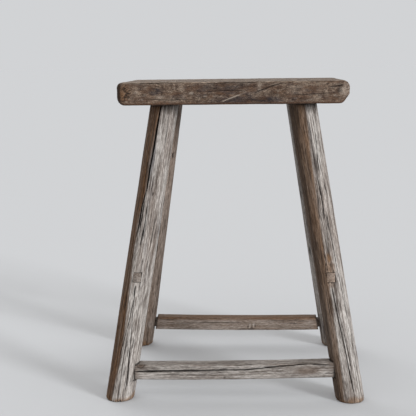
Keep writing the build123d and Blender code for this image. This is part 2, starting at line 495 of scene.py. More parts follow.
# Cloudy stains on every leg: stain, amount, waves round it, their length, seed, ramp from, ramp to
LEG_CLOUDS = (
    ("pale", 0.30, 1.6, 55.0, 3, 0.0, 0.5),
    ("brown", 0.26, 1.4, 80.0, 4, 0.0, 0.55),
    ("blue", 0.24, 2.6, 40.0, 7, 0.15, 0.6),
)


def upright(degrees):
    """A line up a leg at one place round it."""
    place = radians(degrees) * LEG_RADIUS
    return (0, place), (UNDERSIDE, place)


# The darker finish left on each leg, partly painted shade on the side away from the light: edge (by pixels
# on the front legs), reach round the leg, amount at the foot and what is added higher up, seed, and how
# much rust is in it
LEG_FINISH_AND_SHADE = {
    (-1, -1): (
        ((162, 106), (158, 120), (153, 147), (149, 165), (144.5, 196), (139.5, 215), (135.5, 239),
         (132.5, 260), (130, 285), (125.5, 320), (122, 350), (117.5, 375), (111, 400)),
        0.36, 1.0, 0.0, 31, 0.14,
    ),
    (1, -1): (
        ((305, 106), (310, 150), (317, 200), (324, 250), (331, 300), (337, 340), (341, 370), (344, 400)),
        0.34, 0.48, 0.20, 32, 0.42,
    ),
    (-1, 1): (upright(50), 0.55, 0.50, 0.0, 33, 0.15),
    (1, 1): (upright(150), 0.30, 0.60, 0.0, 34, 0.0),
}
# Painted shade: a dark band along the left edge of the front right leg, through these pixels
RIGHT_FRONT_SHADE = (
    (297, 106), (300.5, 150), (304, 170), (307, 190), (312, 220), (316, 245), (320, 270), (324, 300),
    (331, 340), (338, 390),
)
LEG_CRACKS = {
    (-1, -1): (
        (1.5, 3.4, 1, (164, 94), (161, 106), (158, 120), (153.6, 147), (150, 165), (145.5, 196)),
        (1.9, 3.6, 10, (159.4, 113), (157.8, 120), (153.6, 147), (149.8, 166), (146.2, 190)),
        (1.7, 3.2, 2, (146, 188), (144.3, 196), (141.4, 208), (138.6, 224), (135, 241)),
        (1.0, 2.2, 29, (144.6, 198), (142.4, 214), (138.6, 233)),
        (1.0, 2.0, 3, (143.8, 225), (141.5, 238), (139.3, 250)),
        (0.7, 1.5, 4, (157, 212), (153.5, 230), (150, 248)),
        (1.3, 2.6, 5, (135.6, 284), (134.6, 291), (133.6, 300)),
        (0.55, 1.6, 6, (135.5, 292), (128, 325), (118, 362)),
        (0.48, 1.3, 7, (134, 296), (131, 335), (127, 392)),
        (0.6, 1.6, 8, (130, 345), (128, 370), (125, 395)),
        (0.8, 1.6, 9, (148, 200), (145, 222), (142, 244)),
        (0.5, 1.0, 19, (170, 108), (167, 130), (164, 152)),
        (0.5, 1.2, 36, (160.5, 206), (157, 224), (153.2, 246)),
        (0.5, 1.1, 37, (150, 250), (146.5, 268), (143, 290)),
        (0.5, 1.1, 38, (147.5, 300), (144, 318), (140, 342)),
    ),
    (1, -1): (
        (0.6, 1.6, 11, (316, 170), (322, 200), (325, 222)),
        (0.6, 1.4, 12, (323, 180), (328, 196)),
        (0.55, 1.2, 15, (318.5, 183), (321, 198)),
        (0.6, 1.5, 13, (323, 252), (326, 262)),
        (0.8, 2.2, 14, (331, 284), (338, 318), (345, 350), (350, 375), (355, 397)),
        (0.45, 1.0, 16, (308, 115), (313, 150), (318, 182)),
        (0.5, 1.1, 17, (326, 210), (332, 240), (338, 272)),
        (0.55, 1.3, 18, (319.3, 178), (324.4, 216), (329.6, 245)),
        (0.5, 1.1, 22, (315, 129), (318, 162), (320.5, 176)),
        (0.45, 1.0, 23, (332.5, 216), (337, 234), (341.5, 253)),
        (0.45, 1.0, 24, (336, 262), (342, 290), (348, 322)),
        (0.5, 1.1, 25, (341, 318), (346.5, 345), (352, 372)),
    ),
    (-1, 1): (),
    (1, 1): (),
}


def foot_stroke(number):
    """One of the short cracks side by side above the front left foot."""
    x = 119.5 + 0.65 * number
    y = 334 + 17 * lattice(number, 3, 5, 9)
    return 0.31, 0.6, 20 + number, (x + 1.4, y), (x, y + 7 + 7 * lattice(number, 1, 2, 9))


# Thin cracks with hardly a pale rim
LEG_STROKES = {
    (-1, -1): [foot_stroke(number) for number in range(14)],
    (1, -1): (
        (0.6, 1.2, 60, (323.4, 262.5), (325.6, 267), (325.0, 272), (326.6, 279)),
        (0.6, 1.2, 61, (329.6, 264), (333.2, 269), (334.6, 278), (333.4, 286)),
    ),
    (-1, 1): (),
    (1, 1): (),
}
LEG_PATCHES = {
    (-1, -1): (
        ("crack", (120, 402.3), (2.6, 1.3), 0.9, 39, 1.6),
        ("crack", (152.5, 194), (3.0, 1.7), 0.6, 40, 0.5),
        ("blue", (152, 160), (26, 4.5), 0.5, 41, 0),
        ("blue", (160, 225), (30, 3.5), 0.4, 42, 0),
        ("pale", (137, 220), (40, 1.8), 0.9, 43, 0),
        ("pale", (145.5, 223), (34, 1.8), 0.9, 43, 0),
        ("pale", (124, 305), (62, 2.4), 0.9, 43, 0),
        # Painted highlight: the next three long pale patches run along the lit right edge of the leg
        ("pale", (172, 150), (60, 3.0), 0.6, 44, 0),
        ("pale", (163, 215), (50, 2.5), 0.6, 46, 0),
        ("pale", (151, 285), (90, 4.0), 0.5, 45, 0),
    ),
    (1, -1): (
        ("crack", (330.6, 265.5), (1.7, 1.3), 0.7, 75, 0.4),
        ("crack", (325.6, 264.5), (1.7, 1.3), 0.7, 76, 0.4),
        ("crack", (334.2, 274.0), (1.7, 1.3), 0.7, 77, 0.4),
        ("crack", (326.8, 269.5), (1.7, 1.3), 0.7, 78, 0.4),
        ("rust", (329, 258), (8, 4.2), 0.85, 61, 0),
        ("rust", (330, 268), (10, 7.5), 0.6, 72, 0),
        ("rust", (331, 283), (8, 5.0), 0.45, 73, 0),
        ("crack", (352, 335), (1.9, 1.1), 0.7, 62, 0.3),
        ("crack", (354, 353), (1.8, 1.0), 0.7, 63, 0.3),
        ("crack", (328, 283), (1.7, 1.4), 0.6, 64, 0.3),
        ("crack", (332, 283), (1.7, 1.4), 0.6, 65, 0.3),
        ("pale", (307.5, 187), (4, 1.2), 0.8, 66, 0),
        ("pale", (343, 300), (90, 5.0), 0.35, 67, 0),
    ),
    (-1, 1): (
        ("crack", (173.2, 155), (5.0, 1.9), 0.95, 81, 1.8),
        ("pale", (150.5, 324), (8.5, 7.0), 0.6, 83, 0),
    ),
    (1, 1): (
        ("crack", (304, 213), (2.4, 1.3), 0.8, 91, 0.3),
        # Painted shadows: the next two dark patches are the shadows that the side rails cast on this leg,
        # with a slight dip
        ("crack", (300.6, 194), (8.0, 1.6), 0.85, 93, 0.4),
        ("crack", (309.4, 251), (9.0, 2.2), 0.85, 94, 0.4),
        ("pale", (300, 200), (140, 12.0), 0.4, 92, 0),
    ),
}


def leg_marks(angles, heights, seed):
    """A leg's marks, and its radius with flats, ribs and furrows but without what sinks in."""
    marks = Marks(heights, angles * LEG_RADIUS, TURN)
    c, s = np.cos(angles), np.sin(angles)
    form = 0.32 * rough(1.3 * c, 1.3 * s, heights / 85.0, seed)
    draw = np.random.default_rng(seed)
    flats = np.full_like(heights, 99.0)
    for number in range(9):
        turn = draw.uniform(-pi, pi)
        flat = LEG_RADIUS - draw.uniform(0.2, 0.6) + 0.3 * noise(heights / 120.0, 0.5, number, seed + 5)
        facing = np.cos(angles - turn - 0.05 * noise(heights / 90.0, 1.5, number, seed + 6))
        flats = np.minimum(flats, np.where(facing > 0.8, flat / np.maximum(facing, 0.8), 99.0))
    sway = 2.0 * noise(heights / 70.0, 0.5, 0.5, seed + 13)
    east, north = LEG_RADIUS * c + sway, LEG_RADIUS * s
    ribs = noise(east / 1.5, north / 1.5, heights / 48.0, seed + 9)
    furrows = noise(east / 4.4, north / 4.4, heights / 95.0, seed + 10)
    rows = noise(1.5 * c, 1.5 * s, heights / 70.0, seed + 14)
    for stain, amount, scale, length, own_seed, low, high in LEG_CLOUDS:
        cloud = rough(scale * c, scale * s, heights / length, seed + own_seed)
        marks.deepen(stain, amount * ramp(cloud, low, high))
    marks.deepen("pale", 0.34 * ramp(ribs + 0.15 * furrows, 0.10, 0.75))
    marks.deepen("crack", 0.50 * ramp(-ribs - 0.15 * furrows + 0.20 * rows, 0.45, 0.95))
    # Painted shade: the top few millimetres of each leg darkened under the seat
    marks.deepen("crack", 0.8 * ramp(heights, UNDERSIDE - 6.0, UNDERSIDE - 1.0))
    foot = heights + 6.0 * noise(3 * c, 3 * s, heights / 9.0, seed + 11)
    marks.deepen("rust", 0.80 * (1 - ramp(foot, 2.0, 13.0)))
    marks.checks(18, (0.0, 120.0, -TURN / 2, TURN / 2), (12, 45), (0.32, 0.6), seed + 20, dark=0.7)
    marks.checks(40, (20.0, UNDERSIDE, -TURN / 2, TURN / 2), (20, 110), (0.36, 0.75), seed + 60)
    return marks, np.minimum(LEG_RADIUS - 0.1 + form, flats) + 0.13 * ribs + 0.16 * furrows


def leg_detail(side, face, marks):
    """The finish with painted shade, cracks, knots, patches, painted shadows and highlights that the
    photograph shows on this leg.
    """
    def at(*pixel):
        return pixel_on_leg(side, face, pixel)

    leg = (side, face)
    edge, reach, foot, higher, seed, rust = LEG_FINISH_AND_SHADE[leg]
    if face < 0:
        edge = [at(*pixel) for pixel in edge]
    amount = foot + higher * ramp(marks.along, 60.0, 330.0)
    # Painted shade: the brown band stands partly for the old finish and partly for shade on the side away
    # from the light
    finish_and_shade = marks.band("brown", edge, reach * TURN, amount, seed)
    marks.deepen("rust", rust * finish_and_shade)
    # Painted shade in the crack stain along the front right leg's left edge
    if leg == (1, -1):
        marks.band("crack", [at(*pixel) for pixel in RIGHT_FRONT_SHADE], 0.16 * TURN, 0.46, 35, 3.0)
    marks.fade(1 - 0.85 * finish_and_shade, "pale")
    marks.fade(1 - 0.9 * finish_and_shade, "blue")
    marks.draw(at, LEG_CRACKS[leg], LEG_PATCHES[leg], rim=0.35)
    marks.draw(at, LEG_STROKES[leg], rim=0.1)


def joint_pocket(marks, angles, direction, centre, size, depth, gap, line=0.9):
    """Sinks a rail's shoulder or a tenon's end into a leg and darkens the line round it, partly the open
    joint and partly painted shade in the corner where a rail meets the leg.
    """
    x, y = np.cos(angles) * LEG_RADIUS, np.sin(angles) * LEG_RADIUS
    sideways = y if direction[0] else x
    over = np.maximum(np.abs(sideways) - size[1] / 2, np.abs(marks.along - centre) - size[0] / 2)
    over = np.where(x * direction[0] + y * direction[1] > 0, over, 99.0)
    over = over + 0.25 * noise(marks.along / 3.0, marks.across / 3.0, 0.5, int(centre))
    marks.sink += depth * (1 - ramp(over, gap - 0.35, gap + 0.5))
    marks.deepen("crack", line * hump(over - gap * 0.5, 0.45 + gap * 0.5))


def leg_tenon(side, face, seed):
    """The head of a leg's tenon: two cheeks with the wedge's slot between them."""
    low = UNDERSIDE - 1.5
    kerf = TENON_TOP - WEDGE_LENGTH - 4.0
    shells = []
    for cheek in (-1, 1):
        (u, v, w), quads = unit_block((10, 24, 12), cheek < 0)
        height = low + (TENON_TOP - low) * w
        x_axis, y_axis = leg_axis(side, face, height)
        slot = np.clip((height - kerf) / (TENON_TOP - kerf), 0, 1)
        slot = (0.5 * WEDGE_TIP + 0.5 * (WEDGE_HEAD - WEDGE_TIP) * slot + JOINT_GAP) * (height > kerf)
        across = cheek * (slot + (TENON_WIDTH / 2 - slot) * u)
        deep = TENON_DEPTH * (v - 0.5)
        top = w > 0.99
        worn = np.where(top, 0.25 + 0.22 * rough(across / 5.0, deep / 5.0, 0.5, seed + cheek), 0)
        rings = 0.55 * ramp(noise(across / 1.6, deep / 3.5, 0.5, seed + 3), 0.35, 0.9)
        shells.append((
            np.stack((x_axis + across, y_axis + deep, height - worn), axis=1),
            [quads],
            np.stack((across, deep, height), axis=1) + 500.0 * (seed % 7),
            stain_table(len(w), rust=0.25, crack=np.where(top, rings, 0.3)),
        ))
    return shells


def make_leg(side, face, seed):
    angles, heights = np.meshgrid(np.linspace(-pi, pi, LEG_COLUMNS, endpoint=False), LEG_ROWS)
    angles, heights = angles.ravel(), heights.ravel()
    c, s = np.cos(angles), np.sin(angles)
    marks, radius = leg_marks(angles, heights, seed)
    leg_detail(side, face, marks)
    long_rail = LONG_RAILS[face]
    centre, lower = long_rail.centres[side > 0], LOWER_RAIL.centres[0]
    let_in = LET_IN + 0.9
    if face < 0:
        body = (long_rail.height, long_rail.depth)
        joint_pocket(marks, angles, (-side, 0), centre, body, let_in, 1.3)
    for rail in (LOWER_RAIL, UPPER_RAIL):
        body = (rail.height, rail.depth)
        joint_pocket(marks, angles, (0, -face), rail.centres[0], body, let_in, 0.7)
    joint_pocket(marks, angles, (side, 0), centre, long_rail.tenon, 2.5, 0.35, 0.85)
    joint_pocket(marks, angles, (0, face), lower, LOWER_RAIL.tenon, 2.5, 0.3, 0.75)
    # Eased foot and shoulder, with chips off the foot's edge
    foot_ease = np.clip(3.6 + 1.6 * rough(2.2 * c, 2.2 * s, 0.5, seed + 12), 2.8, 5.5)
    low = np.clip(1 - heights / foot_ease, 0, 1)
    radius = radius - foot_ease * (1 - np.sqrt(1 - low**2)) - 0.25 * (1 - ramp(heights, 4.0, 12.0))
    high = np.clip(1 - (UNDERSIDE - heights) / 2.0, 0, 0.999)
    radius = radius - 2.0 * (1 - np.sqrt(1 - high**2))
    radius = np.clip(radius - marks.sink, LEAST_RADIUS, LEG_RADIUS + 0.15 * ramp(heights, 8.0, 30.0))
    up = leg_up(side, face)
    reach = radius / np.sqrt(1 - (c * up[0] + s * up[1]) ** 2)
    x_axis, y_axis = leg_axis(side, face, heights)
    points = np.stack((x_axis + reach * c, y_axis + reach * s, heights), axis=1)
    grain = np.stack((radius * c, radius * s, heights), axis=1)

    def hollow(inner):
        lift = 0.35 + 0.3 * rough(inner[:, 0] / 6.0, inner[:, 1] / 6.0, 0.5, seed + 13)
        return np.maximum(lift, 0)

    shrink = (0.88, 0.74, 0.58, 0.42, 0.26, 0.12)
    points, faces, grain, stains = tube_shell(
        points, grain, marks.table(), LEG_COLUMNS, shrink, dict(rust=0.5, brown=0.4), hollow=hollow
    )
    shells = [(points, faces, grain + 37.0 * seed, stains)] + leg_tenon(side, face, seed)
    make_piece(f"{FACES[face]}_{SIDES[side]}_leg", "leg_wood", shells)


def make_wedge(side, face, seed):
    (u, v, w), quads = unit_block((4, 26, 14))
    height = TENON_TOP - WEDGE_LENGTH * (1 - w)
    x_axis, y_axis = leg_axis(side, face, height)
    across = (WEDGE_TIP + (WEDGE_HEAD - WEDGE_TIP) * w) * (u - 0.5)
    deep = (TENON_DEPTH - 0.3) * (v - 0.5)
    top = w > 0.99
    level = height + np.where(top, -0.05 + 0.2 * rough(across / 2.0, deep / 3.0, 0.5, seed), 0)
    points = np.stack((x_axis + across, y_axis + deep, np.minimum(level, TOP - 0.05)), axis=1)
    grain = np.stack((across, deep, height), axis=1) + 91.0 * seed
    rings = 0.4 * ramp(noise(across, deep / 1.5, 0.5, seed + 1), 0.2, 0.9)
    stains = stain_table(len(w), rust=0.2, crack=np.where(top, rings, 0.0))
    make_piece(f"{FACES[face]}_{SIDES[side]}_wedge", "wedge_wood", [(points, [quads], grain, stains)])


# Rails

# Cloudy stains on every rail: stain, amount, length, width, slice of the noise, seed, ramp from, ramp to
RAIL_CLOUDS = (
    ("pale", 0.35, 45.0, 9.0, 0.5, 3, 0.05, 0.55),
    ("brown", 0.30, 40.0, 7.0, 2.5, 4, 0.05, 0.55),
    ("blue", 0.20, 35.0, 8.0, 4.5, 5, 0.2, 0.6),
)
# Marks on the long rails' front faces: a main crack, thin cracks and patches
FRONT_RAIL_CRACKS = (
    (1.2, 2.8, 101, (135.5, 371.5), (158, 371.3), (190, 371), (215, 370.3), (245, 370), (262, 368.5),
     (280, 366.5), (300, 364.5), (309, 363.4), (320, 365), (334, 365.7)),
    (1.7, 3.2, 108, (131, 371.7), (160, 371.3), (205, 370.7)),
)
FRONT_RAIL_THIN_CRACKS = (
    (0.45, 0.9, 102, (150, 375), (185, 374.2), (214, 374.6)),
    (0.42, 0.8, 103, (228, 366), (250, 365), (268, 364)),
)
FRONT_RAIL_KNOT = (140.5, 364.5)
FRONT_RAIL_PATCHES = (
    ("crack", (224.5, 377.5), (1.6, 1.2), 0.8, 104, 0.4),
    ("brown", FRONT_RAIL_KNOT, (8.5, 6.5), 0.75, 105, 0),
    ("brown", (308, 371), (19, 7.0), 0.5, 106, 0),
    ("brown", (202, 364), (22, 4.0), 0.55, 107, 0),
)
BACK_RAIL_THIN_CRACKS = (
    (0.45, 1.0, 112, (170, 324), (205, 322.5), (236, 323)),
    (0.42, 1.0, 113, (262, 321), (288, 320.5), (308, 321.5)),
)
BACK_RAIL_KNOT = (
    (248.0, 326.5, "crack", (1.0, 5.0)),
    (249.9, 326.0, "pale", (1.2, 5.5)),
    (251.8, 326.8, "crack", (0.9, 4.5)),
    (253.6, 325.4, "pale", (1.2, 5.0)),
    (255.4, 325.8, "crack", (0.9, 4.0)),
    (251.0, 329.2, "crack", (5.0, 1.2)),
)


def section_ring(height, depth, easing, columns):
    """Places round a rounded rectangle, turning left: across, up, distance; and the whole way round."""
    half_d, half_h = depth / 2 - easing, height / 2 - easing
    corners = ((half_d, -half_h, -90), (half_d, half_h, 0), (-half_d, half_h, 90), (-half_d, -half_h, 180))
    line = []
    for x, z, start in corners:
        for step in range(13):
            turn = radians(start + 7.5 * step)
            line.append((x + easing * cos(turn), z + easing * sin(turn)))
    line = np.array(line + line[:1])
    far = np.concatenate(([0], np.cumsum(np.linalg.norm(np.diff(line, axis=0), axis=1))))
    places = np.linspace(0, far[-1], columns, endpoint=False)
    return np.interp(places, far, line[:, 0]), np.interp(places, far, line[:, 1]), places, far[-1]


def rail_surface(rail, place, legs, seed, detail):
    """The outside of a rail between two legs: points, grain and marks."""
    columns, stations = rail.grid
    *ring, turn = section_ring(rail.height, rail.depth, RAIL_EASING, columns)
    across, up, far = (np.tile(values, stations) for values in ring)
    steps = np.linspace(-1, 1, stations)
    steps = np.repeat(np.sign(steps) * (1 - (1 - np.abs(steps)) ** 1.12), columns)
    left, right = rail.centres
    height = (left + right) / 2 + (right - left) / 2 * steps + up
    foot, slope = LEG_FOOT[rail.axis], LEG_SLOPE[rail.axis]
    ends = []
    for side, face in legs:
        if rail.gap is None:
            off = place + across - leg_axis(side, face, height)[1 - rail.axis]
            room = gap_to_leg(side, face, rail.axis, off, LEG_RADIUS - LET_IN)
        else:
            room = LEG_RADIUS * sqrt(1 + slope**2) + rail.gap
        ends.append(foot - slope * height - room)
    half = np.where(steps < 0, *ends)
    along = steps * half
    marks = Marks(along, far, turn)
    form = 0.40 * rough(along / 42.0, across / 14.0, up / 14.0, seed)
    ribs = rough(along / 36.0, far / 1.8, 0.5, seed + 1, 2)
    for stain, amount, length, width, part, own_seed, low, high in RAIL_CLOUDS:
        cloud = rough(along / length, far / width, part, seed + own_seed)
        marks.deepen(stain, amount * ramp(cloud, low, high))
    marks.deepen("pale", 0.40 * ramp(ribs, 0.3, 0.8))
    marks.deepen("crack", 0.38 * ramp(-ribs, 0.5, 0.95))
    reach = float(np.abs(along).max())
    marks.checks(16, (-reach, reach, 0.0, turn), (15, 70), (0.34, 0.6), seed + 30)
    detail(marks, across, up)
    # Darker near each end: the open joint with painted shade in the corner at the leg, and browner wood
    from_end = half - np.abs(along)
    marks.deepen("crack", 0.8 * (1 - ramp(from_end, 0.5, 2.8)))
    marks.deepen("brown", 0.4 * (1 - ramp(from_end, 2.0, 14.0)))
    # The way out of the rail at each point, and how far it is over an edge
    flat_d, flat_h = rail.depth / 2 - RAIL_EASING, rail.height / 2 - RAIL_EASING
    out = np.stack((across - np.clip(across, -flat_d, flat_d), up - np.clip(up, -flat_h, flat_h)))
    out = out / np.maximum(np.hypot(*out), 1e-6)
    edge = ramp(np.abs(out).min(axis=0), 0.05, 0.5)
    chips = 1.1 * ramp(noise(along / 9.0, far / 9.0, 0.5, seed + 6), 0.45, 0.95) * edge
    worn = 0.5 * edge * ramp(noise(along / 30.0, far / 20.0, 0.5, seed + 7), -0.2, 0.8)
    push = form + 0.13 * ribs - marks.sink - chips - worn - 0.05
    points = [along, along, height + push * out[1] - rail.sag * (1 - steps**2)]
    points[1 - rail.axis] = place + across + push * out[0]
    return np.stack(points, axis=1), np.stack((across, up, along), axis=1), marks


def rail_tenon(rail, place, legs, end, seed, stains):
    """One tenon of a rail, pared flush outside the leg or hidden inside it."""
    axis = rail.axis
    (u, v, w), quads = unit_block((12, 12, 14), (end < 0) == (axis == 0))
    side, face = legs[end > 0]
    up, across = rail.tenon[0] * (w - 0.5), rail.tenon[1] * (v - 0.5)
    height = rail.centres[end > 0] + up
    middle = LEG_FOOT[axis] - LEG_SLOPE[axis] * height
    inner = middle - LEG_RADIUS - (rail.gap or 0.0) - 4.0
    if rail.reach is None:
        off = place + across - leg_axis(side, face, height)[1 - axis]
        uneven = np.minimum(0.18 * rough(across / 4.0, up / 4.0, 0.5, seed + 8 + end), 0.2)
        outer = middle + gap_to_leg(side, face, axis, off, LEG_RADIUS, True) - 0.35 + uneven
    else:
        outer = middle + rail.reach
    along = inner + (outer - inner) * u
    points = [end * along, end * along, height]
    points[1 - axis] = place + across
    rings = 0.5 * ramp(noise(across / 1.5, up / 4.0, 0.5, seed + 9), 0.3, 0.9)
    table = stain_table(len(u), crack=np.where(u > 0.99, rings, 0.2), **stains)
    return np.stack(points, axis=1), [quads], np.stack((across, up, along), axis=1), table


def make_rail(node, rail, place, legs, seed, detail, tenon_stains):
    """A rail with its two tenons, along a line at a place on the axis that it doesn't follow."""
    points, grain, marks = rail_surface(rail, place, legs, seed, detail)
    flip = rail.axis == 0
    shells = [tube_shell(points, grain, marks.table(), rail.grid[0], (0.6,), dict(crack=0.5), flip)]
    shells += [rail_tenon(rail, place, legs, end, seed, tenon_stains) for end in (-1, 1)]
    shells = [(points, faces, grain + 53.0 * seed, stains) for points, faces, grain, stains in shells]
    make_piece(node, "stretcher_wood", shells)


def long_line_y(face):
    """Place, front to back, of a long rail's middle line."""
    return face * (LEG_FOOT[1] - LEG_SLOPE[1] * sum(LONG_RAILS[face].centres) / 2)


def rail_finder(face):
    """Turns a pixel into (along, up) on the side of a long rail that looks to the front."""
    rail = LONG_RAILS[face]
    left, right = rail.centres

    def at(x, y):
        place, height = pixel_on_plane((x, y), long_line_y(face) - rail.depth / 2)
        middle = (left + right) / 2 + (right - left) / 2 * place / LEG_FOOT[0]
        return place, float(height - middle + rail.sag * (1 - (place / 155.0) ** 2))

    return at


def front_rail_detail(marks, across, up):
    """Marks on the face of the front rail, placed by the photograph."""
    front = ramp(-across, 6.0, 11.0)
    at = rail_finder(-1)
    own = Marks(marks.along, up)
    own.draw(at, FRONT_RAIL_CRACKS, FRONT_RAIL_PATCHES, rim=0.3, mask=front)
    own.draw(at, FRONT_RAIL_THIN_CRACKS, dark=0.7, mask=front)
    knot = at(*FRONT_RAIL_KNOT)
    ring = np.hypot((marks.along - knot[0]) / 1.15, up - knot[1])
    ring = ring + 0.5 * noise(marks.along / 4.0, up / 4.0, 0.5, 109)
    rings = (0.85 * hump(ring - 5.6, 0.8) + 0.6 * hump(ring - 2.6, 0.7)) * front
    own.deepen("crack", rings)
    own.sink += 0.4 * rings
    marks.lay_over(own)


def back_rail_detail(marks, across, up):
    """Marks on the face of the back rail that looks to the front."""
    front = ramp(-across, 5.0, 9.5)
    at = rail_finder(1)
    own = Marks(marks.along, up)
    for x, y, stain, radii in BACK_RAIL_KNOT:
        own.patch(stain, at(x, y), radii, 0.85, int(10 * x), 0.5, 0.3, front)
    own.draw(at, BACK_RAIL_THIN_CRACKS, dark=0.7, mask=front)
    marks.lay_over(own)
    marks.deepen("rust", 0.30)
    marks.deepen("brown", 0.95 * ramp(up, 5.0, 11.0))


def short_rail_detail(marks, across, up):
    """The short rails have kept more of the old brown finish."""
    marks.deepen("brown", 0.45)


# Seat

# Cells between the grid lines at the mortises' edges, along the seat and across it; then those at each
# end, with the width that they fill, and the rows from the underside to the top
SEAT_CELLS = ((24, 14, 84, 14, 24), (22, 18, 34, 18, 22))
SEAT_END_CELLS = 15
SEAT_END_WIDTH = 16.0
SEAT_ROWS = 36
# Inside this distance from the middle the grid isn't drawn in at the round corners
SQUARE_HALF_DEPTH = 60.0
# Heart of the plank's growth rings, front to back and up
HEART = (-61.0, 380.0)
# Figure along the grain: long on the top and underside, whose faces look up or down by more than the
# second value, and burl on the faces between
LONG_FIGURE = 0.09
LEVEL_FACING = 0.62
# Set-in of the seat's faces, which leaves room for its lumps inside the solid
SEAT_SET_IN = 0.35


def seat_lines(height, axis, half, mortise):
    """Grid lines of the seat at one level, with lines on the mortises' edges."""
    middle = LEG_FOOT[axis] - LEG_SLOPE[axis] * height
    near, far = middle - mortise / 2 - JOINT_GAP, middle + mortise / 2 + JOINT_GAP
    knots = (SEAT_END_WIDTH - half, -far, -near, near, far, half - SEAT_END_WIDTH)
    spans = zip(knots[:-1], knots[1:], SEAT_CELLS[axis])
    lines = [np.linspace(low, high, count, endpoint=False) for low, high, count in spans]
    ends = half - SEAT_END_WIDTH * np.linspace(0, 1, SEAT_END_CELLS + 1) ** 2
    return np.concatenate([-ends[:-1]] + lines + [ends[::-1]])


def seat_depth_at(x):
    """Half depth of the seat's plan at a place along it, less at the round corners."""
    corner = np.clip(np.abs(x) - (SEAT_HALF_LENGTH - CORNER_RADIUS), 0, CORNER_RADIUS)
    return SEAT_HALF_DEPTH - CORNER_RADIUS + np.sqrt(np.maximum(CORNER_RADIUS**2 - corner**2, 0))


def rounded_drop(distance, radius):
    """How far a quarter round falls at a distance from the end that it turns down to."""
    inside = np.clip(radius - distance, 0, radius)
    return radius - np.sqrt(np.maximum(radius**2 - inside**2, 0))


def seat_top(x):
    """Height of the seat's top, which rolls over at both ends."""
    left = rounded_drop(x + SEAT_HALF_LENGTH, LEFT_TOP_ROUND)
    return TOP - left - rounded_drop(SEAT_HALF_LENGTH - x, RIGHT_TOP_ROUND)


def seat_bottom(x):
    """Height of the seat's underside, which rises at both ends."""
    cut = (x - (SEAT_HALF_LENGTH - RIGHT_CUT_LENGTH)) / RIGHT_CUT_EASING
    cut = RIGHT_CUT_EASING * np.log1p(np.exp(np.clip(cut, -30, 30)))
    left = rounded_drop(x + SEAT_HALF_LENGTH, LEFT_LOW_ROUND)
    return UNDERSIDE + left + RIGHT_CUT_HEIGHT / RIGHT_CUT_LENGTH * cut


def seat_topology():
    """Places of the seat's grid points, its quads with four mortises through it, and the outer ones."""
    counts = (sum(SEAT_CELLS[0]) + 2 * SEAT_END_CELLS, sum(SEAT_CELLS[1]) + 2 * SEAT_END_CELLS, SEAT_ROWS)
    places, sides, index = box_grid(counts)
    edges = [np.cumsum((SEAT_END_CELLS,) + SEAT_CELLS[axis]) for axis in (0, 1)]
    holes = [(edges[0][a], edges[0][a + 1], edges[1][b], edges[1][b + 1]) for a in (1, 3) for b in (1, 3)]
    outer = [sides[name] for name in ("left", "right", "front", "back")]
    for name in ("top", "under"):
        i, j = places[sides[name]][:, :, :2].min(axis=1).T
        inside = [(i >= i0) & (i < i1) & (j >= j0) & (j < j1) for i0, i1, j0, j1 in holes]
        outer.append(sides[name][~np.any(inside, axis=0)])
    walls = []
    for i0, i1, j0, j1 in holes:
        loop = [(i, j0) for i in range(i0, i1)] + [(i1, j) for j in range(j0, j1)]
        loop += [(i, j1) for i in range(i1, i0, -1)] + [(i0, j) for j in range(j1, j0, -1)]
        here = index[tuple(np.array(loop).T)]
        after = np.roll(here, -1, axis=0)
        walls.append(np.stack((here[:, 0], here[:, -1], after[:, -1], after[:, 0]), axis=1))
    outer = np.concatenate(outer)
    every = np.concatenate([outer] + walls)
    used = np.unique(every)
    renumber = np.full(len(places), -1)
    renumber[used] = np.arange(len(used))
    return places[used], renumber[every], renumber[outer]


def ease_edge(y, z, limit, edge, easing, upward):
    """Rounds the long edge where the seat's face meets its top or its underside."""
    a = np.clip(easing - (limit - np.abs(y)), 0, None)
    b = np.clip((z - edge) * upward + easing, 0, None)
    both = (a > 0) & (b > 0)
    scale = np.where(both, np.maximum(a, b) / np.maximum(np.hypot(a, b), 1e-9), 1.0)
    new_y = np.where(both, np.sign(y) * (limit - easing + a * scale), y)
    new_z = np.where(both, edge - upward * easing + upward * b * scale, z)
    return new_y, new_z


